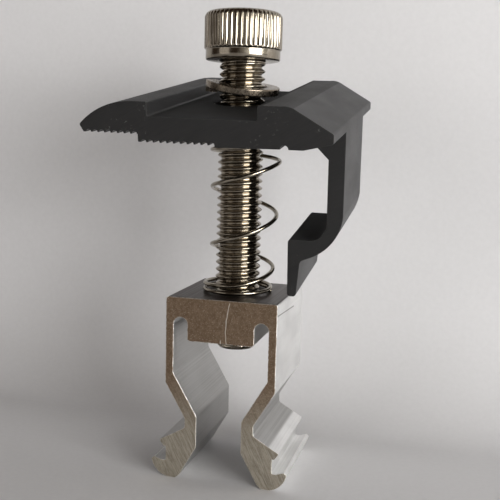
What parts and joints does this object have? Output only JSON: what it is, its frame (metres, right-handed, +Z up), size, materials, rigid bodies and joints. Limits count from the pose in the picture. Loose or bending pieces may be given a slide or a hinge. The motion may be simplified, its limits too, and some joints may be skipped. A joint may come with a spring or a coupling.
{
  "type": "solar module clamp",
  "caption": "Click-in solar module clamp: a serrated black clamp with a support leg, on an M8 socket screw with a spring lock washer and a spring, over an aluminium rail base.",
  "frame": {"origin": "on the screw's axis, in the plane of the ends of the base's two feet", "axes": "+Z up the screw towards its head, +X towards the clamp's leg, +Y along the extrusions, away from the face that is seen first"},
  "size_m": [0.0402, 0.0415, 0.08],
  "materials": {
    "raw_aluminium": "extruded, with sawn end faces",
    "screw_steel": "cold formed stainless, bright",
    "washer_steel": "coiled stainless, satin",
    "black_anodised": "matt black anodised extrusion",
    "spring_steel": "drawn stainless wire, bright"
  },
  "bodies": {
    "base": {"base": "raw_aluminium"},
    "spring": {"spring": "spring_steel"},
    "clamp": {"clamp": "black_anodised"},
    "washer": {"lock_washer": "washer_steel"},
    "screw": {"cap_screw": "screw_steel"}
  },
  "joints": [
    {"name": "screw_feed", "type": "slide", "parent": "base", "child": "washer", "axis": [0, 0, 1], "range_m": [-0.022, 0], "stiffness_N_per_m": 750, "springref_m": 0.0003},
    {"name": "screw_turn", "type": "hinge", "parent": "washer", "child": "screw", "pos_m": [0, 0, 0.072], "axis": [0, 0, 1], "range_deg": [-6420, 60]},
    {"name": "clamp_tilt", "type": "hinge", "parent": "washer", "child": "clamp", "pos_m": [0, 0, 0.06305], "axis": [0.9917, 0.1288, 0], "range_deg": [-17, 0]},
    {"name": "spring_squeeze", "type": "slide", "parent": "base", "child": "spring", "axis": [0, 0, 1], "range_m": [-0.0222, 0.0002], "deforming": ["spring"]}
  ],
  "couplings": [
    {"joint": "screw_turn", "follows": "screw_feed", "rad_per_m": 5026.5},
    {"joint": "spring_squeeze", "follows": "screw_feed", "ratio": 1}
  ]
}
